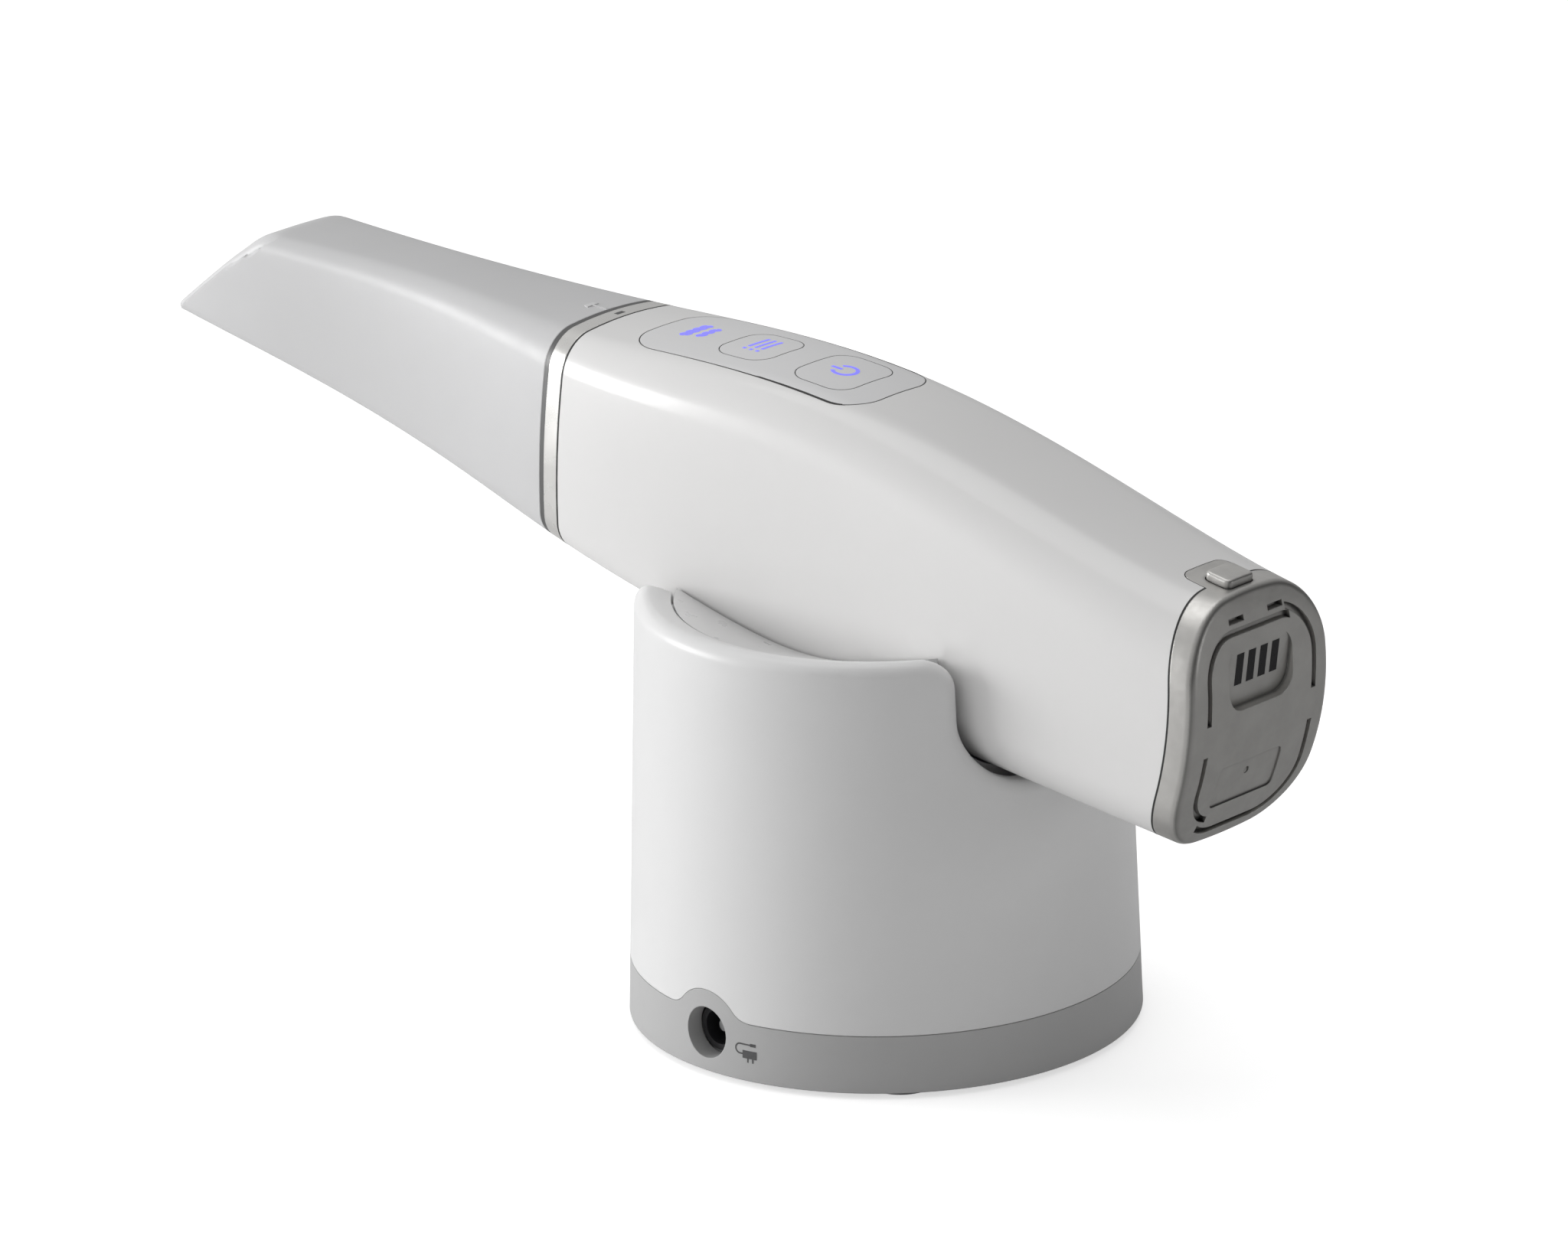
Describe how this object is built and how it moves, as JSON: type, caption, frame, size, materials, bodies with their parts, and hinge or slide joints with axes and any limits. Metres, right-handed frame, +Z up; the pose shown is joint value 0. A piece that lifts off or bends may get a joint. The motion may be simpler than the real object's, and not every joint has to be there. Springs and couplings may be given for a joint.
{
  "type": "intraoral camera",
  "caption": "Wireless intraoral scanner with a bevelled mirror tip, ringed neck, button panel and sliding battery pack, lying across a round charging cradle.",
  "frame": {"origin": "on the table, under the middle of the whole object; the cradle's axis is 36 mm from it towards +X", "axes": "+Z up, -X towards the scanner's tip, +X towards its battery, the power socket faces -Y"},
  "size_m": [0.227, 0.0828, 0.1095],
  "materials": {
    "body_white": "gloss",
    "tip_grey": "satin",
    "mirror_glass": "polished",
    "seal_grey": "matt",
    "satin_nickel": "satin",
    "gasket_black": "matt",
    "panel_grey": "satin",
    "contact_gold": "polished",
    "board_green": "satin",
    "black_plastic": "satin",
    "clear_glass": "polished",
    "frame_aluminium": "satin",
    "light_guide": "satin",
    "flex_amber": "satin",
    "cap_metallic": "satin",
    "bar_smoke": "gloss",
    "casing_grey": "satin",
    "cell_silver": "satin",
    "steel": "satin",
    "cradle_white": "satin",
    "liner_white": "gloss",
    "base_grey": "satin",
    "plate_grey": "matt",
    "foot_rubber": "matt",
    "ballast_iron": "cast"
  },
  "bodies": {
    "cradle": {"cradle_shell": "cradle_white", "saddle_liner": "liner_white", "base_ring": "base_grey", "base_plate": "plate_grey", "rubber_feet": "foot_rubber", "dc_jack": "black_plastic", "jack_pin": "steel", "charger_board": "board_green", "contact_block": "black_plastic", "charge_leads": "flex_amber", "ballast_weight": "ballast_iron", "cradle_screws": "steel"},
    "charging_pins": {"contact_pins": "contact_gold"},
    "handpiece": {"body_shell": "body_white", "button_panel": "panel_grey", "bezel_gasket": "gasket_black", "bezel_ring": "satin_nickel", "charge_pads": "contact_gold", "nose_barrel": "black_plastic", "front_window": "clear_glass", "optics_frame": "frame_aluminium", "lens_barrel": "black_plastic", "objective_lens": "clear_glass", "camera_board": "board_green", "image_sensor": "black_plastic", "projector_housing": "frame_aluminium", "projector_lens": "clear_glass", "main_board": "board_green", "processor": "black_plastic", "heat_sink": "frame_aluminium", "wireless_module": "steel", "button_board": "board_green", "tact_switches": "black_plastic", "indicator_leds": "light_guide", "icon_light_guide": "light_guide", "camera_flex": "flex_amber", "button_flex": "flex_amber", "board_screws": "steel", "battery_bay": "black_plastic", "bay_contacts": "contact_gold"},
    "tip": {"tip_shell": "tip_grey", "tip_mirror": "mirror_glass", "tip_seal": "seal_grey"},
    "battery_pack": {"battery_cap": "cap_metallic", "cap_seal": "gasket_black", "charge_bars": "bar_smoke", "gauge_board": "board_green", "battery_casing": "casing_grey", "battery_cells": "cell_silver", "battery_board": "board_green", "battery_contacts": "contact_gold", "latch_spring": "steel"},
    "latch": {"latch_button": "cap_metallic"},
    "mode_key": {"mode_button": "panel_grey"},
    "power_key": {"power_button": "panel_grey"}
  },
  "joints": [
    {"name": "handpiece_lift", "type": "slide", "parent": "cradle", "child": "handpiece", "axis": [0, 0, 1], "range_m": [0, 0.06]},
    {"name": "tip_pull", "type": "slide", "parent": "handpiece", "child": "tip", "axis": [-0.9911, 0, 0.1329], "range_m": [0, 0.095]},
    {"name": "battery_slide", "type": "slide", "parent": "handpiece", "child": "battery_pack", "axis": [0.9911, 0, -0.1329], "range_m": [0, 0.06]},
    {"name": "latch_press", "type": "slide", "parent": "battery_pack", "child": "latch", "axis": [-0.1329, 0, -0.9911], "range_m": [0, 0.0008], "stiffness_N_per_m": 900, "deforming": ["latch_spring"]},
    {"name": "mode_press", "type": "slide", "parent": "handpiece", "child": "mode_key", "axis": [-0.1329, 0, -0.9911], "range_m": [0, 0.0004], "stiffness_N_per_m": 1500},
    {"name": "power_press", "type": "slide", "parent": "handpiece", "child": "power_key", "axis": [-0.1329, 0, -0.9911], "range_m": [0, 0.0004], "stiffness_N_per_m": 1500},
    {"name": "charging_pin_press", "type": "slide", "parent": "cradle", "child": "charging_pins", "axis": [0, 0, -1], "range_m": [0, 0.0008], "stiffness_N_per_m": 400}
  ]
}
